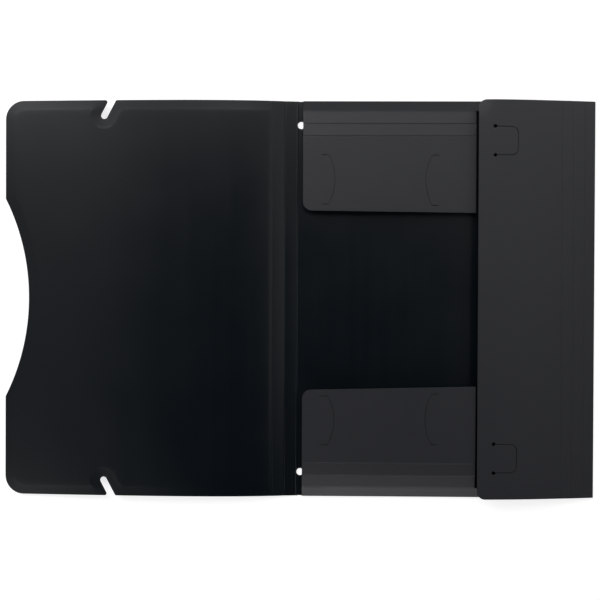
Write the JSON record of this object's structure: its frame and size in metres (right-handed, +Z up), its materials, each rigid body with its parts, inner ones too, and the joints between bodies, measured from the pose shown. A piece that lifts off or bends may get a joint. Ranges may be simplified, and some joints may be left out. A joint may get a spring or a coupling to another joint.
{
  "type": "elastic folder",
  "caption": "Open A4 folder in black polypropylene, its creased flaps folded in over the back panel, with a thumb cut-out and empty elastic slots.",
  "frame": {"origin": "centre of the back panel's underside", "axes": "+X from the spine towards the side flap, +Y towards the top flap, +Z up out of the open folder"},
  "size_m": [0.4777, 0.3204, 0.0135],
  "materials": {
    "sheet": "satin"
  },
  "bodies": {
    "back_panel": {"back_panel": "sheet"},
    "spine_strip_inner": {"spine_strip_inner": "sheet"},
    "spine_strip_outer": {"spine_strip_outer": "sheet"},
    "front_cover": {"front_cover": "sheet"},
    "top_wall": {"top_wall": "sheet"},
    "top_mid_strip": {"top_mid_strip": "sheet"},
    "top_upper_strip": {"top_upper_strip": "sheet"},
    "top_flap": {"top_flap": "sheet"},
    "top_tongue_left": {"top_tongue_left": "sheet"},
    "top_tongue_right": {"top_tongue_right": "sheet"},
    "bottom_wall": {"bottom_wall": "sheet"},
    "bottom_mid_strip": {"bottom_mid_strip": "sheet"},
    "bottom_upper_strip": {"bottom_upper_strip": "sheet"},
    "bottom_flap": {"bottom_flap": "sheet"},
    "bottom_tongue_left": {"bottom_tongue_left": "sheet"},
    "bottom_tongue_right": {"bottom_tongue_right": "sheet"},
    "side_wall": {"side_wall": "sheet"},
    "side_mid_strip": {"side_mid_strip": "sheet"},
    "side_upper_strip": {"side_upper_strip": "sheet"},
    "side_flap": {"side_flap": "sheet"},
    "side_tab_upper": {"side_tab_upper": "sheet"},
    "side_tab_lower": {"side_tab_lower": "sheet"}
  },
  "joints": [
    {"name": "spine_inner_crease", "type": "hinge", "parent": "back_panel", "child": "spine_strip_inner", "pos_m": [-0.12, 0, 0.00075], "axis": [0, 1, 0], "range_deg": [0, 82.6]},
    {"name": "spine_middle_crease", "type": "hinge", "parent": "spine_strip_inner", "child": "spine_strip_outer", "pos_m": [-0.12992, 0, 0.00204], "axis": [0, -1, 0], "range_deg": [-86, 0]},
    {"name": "cover_crease", "type": "hinge", "parent": "spine_strip_outer", "child": "front_cover", "pos_m": [-0.13972, 0, 0.00403], "axis": [0, 1, 0], "range_deg": [0, 97]},
    {"name": "top_wall_crease", "type": "hinge", "parent": "back_panel", "child": "top_wall", "pos_m": [0, 0.16, 0.00075], "axis": [1, 0, 0], "range_deg": [-150, 3]},
    {"name": "top_mid_crease", "type": "hinge", "parent": "top_wall", "child": "top_mid_strip", "pos_m": [0, 0.15109, 0.00529], "axis": [1, 0, 0], "range_deg": [-22, 0.5]},
    {"name": "top_upper_crease", "type": "hinge", "parent": "top_mid_strip", "child": "top_upper_strip", "pos_m": [0, 0.14113, 0.00616], "axis": [1, 0, 0], "range_deg": [-1, 0.1]},
    {"name": "top_flap_crease", "type": "hinge", "parent": "top_upper_strip", "child": "top_flap", "pos_m": [0, 0.13115, 0.00686], "axis": [1, 0, 0], "range_deg": [-3.5, 0.1]},
    {"name": "bottom_wall_crease", "type": "hinge", "parent": "back_panel", "child": "bottom_wall", "pos_m": [0, -0.16, 0.00075], "axis": [-1, 0, 0], "range_deg": [-146, 3]},
    {"name": "bottom_mid_crease", "type": "hinge", "parent": "bottom_wall", "child": "bottom_mid_strip", "pos_m": [0, -0.15143, 0.0059], "axis": [-1, 0, 0], "range_deg": [-16, 0.4]},
    {"name": "bottom_upper_crease", "type": "hinge", "parent": "bottom_mid_strip", "child": "bottom_upper_strip", "pos_m": [0, -0.14177, 0.00849], "axis": [-1, 0, 0], "range_deg": [-6, 0.2]},
    {"name": "bottom_flap_crease", "type": "hinge", "parent": "bottom_upper_strip", "child": "bottom_flap", "pos_m": [0, -0.13189, 0.01005], "axis": [-1, 0, 0], "range_deg": [-8.5, 0.2]},
    {"name": "side_wall_crease", "type": "hinge", "parent": "back_panel", "child": "side_wall", "pos_m": [0.12, 0, 0.00075], "axis": [0, -1, 0], "range_deg": [-164.5, 3]},
    {"name": "side_mid_crease", "type": "hinge", "parent": "side_wall", "child": "side_mid_strip", "pos_m": [0.1117, 0, 0.00259], "axis": [0, -1, 0], "range_deg": [-2.5, 0.2]},
    {"name": "side_upper_crease", "type": "hinge", "parent": "side_mid_strip", "child": "side_upper_strip", "pos_m": [0.10235, 0, 0.00424], "axis": [0, -1, 0], "range_deg": [-1.5, 0.2]},
    {"name": "side_flap_crease", "type": "hinge", "parent": "side_upper_strip", "child": "side_flap", "pos_m": [0.09345, 0, 0.00557], "axis": [0, -1, 0], "range_deg": [-2.5, 0.2]},
    {"name": "side_tab_upper_root", "type": "hinge", "parent": "side_flap", "child": "side_tab_upper", "pos_m": [0.03809, 0.1271, 0.01269], "axis": [0, -1, 0], "range_deg": [0, 25]},
    {"name": "side_tab_lower_root", "type": "hinge", "parent": "side_flap", "child": "side_tab_lower", "pos_m": [0.03809, -0.1271, 0.01269], "axis": [0, -1, 0], "range_deg": [0, 25]},
    {"name": "top_tongue_left_root", "type": "hinge", "parent": "top_flap", "child": "top_tongue_left", "pos_m": [-0.1003, 0.09576, 0.00762], "axis": [0, -1, 0.0087], "range_deg": [0, 20]},
    {"name": "top_tongue_right_root", "type": "hinge", "parent": "top_flap", "child": "top_tongue_right", "pos_m": [-0.006, 0.09576, 0.00762], "axis": [0, 1, -0.0087], "range_deg": [0, 20]},
    {"name": "bottom_tongue_left_root", "type": "hinge", "parent": "bottom_flap", "child": "bottom_tongue_left", "pos_m": [-0.1003, -0.0965, 0.01081], "axis": [0, -1, -0.0087], "range_deg": [0, 20]},
    {"name": "bottom_tongue_right_root", "type": "hinge", "parent": "bottom_flap", "child": "bottom_tongue_right", "pos_m": [-0.006, -0.0965, 0.01081], "axis": [0, 1, 0.0087], "range_deg": [0, 20]}
  ]
}
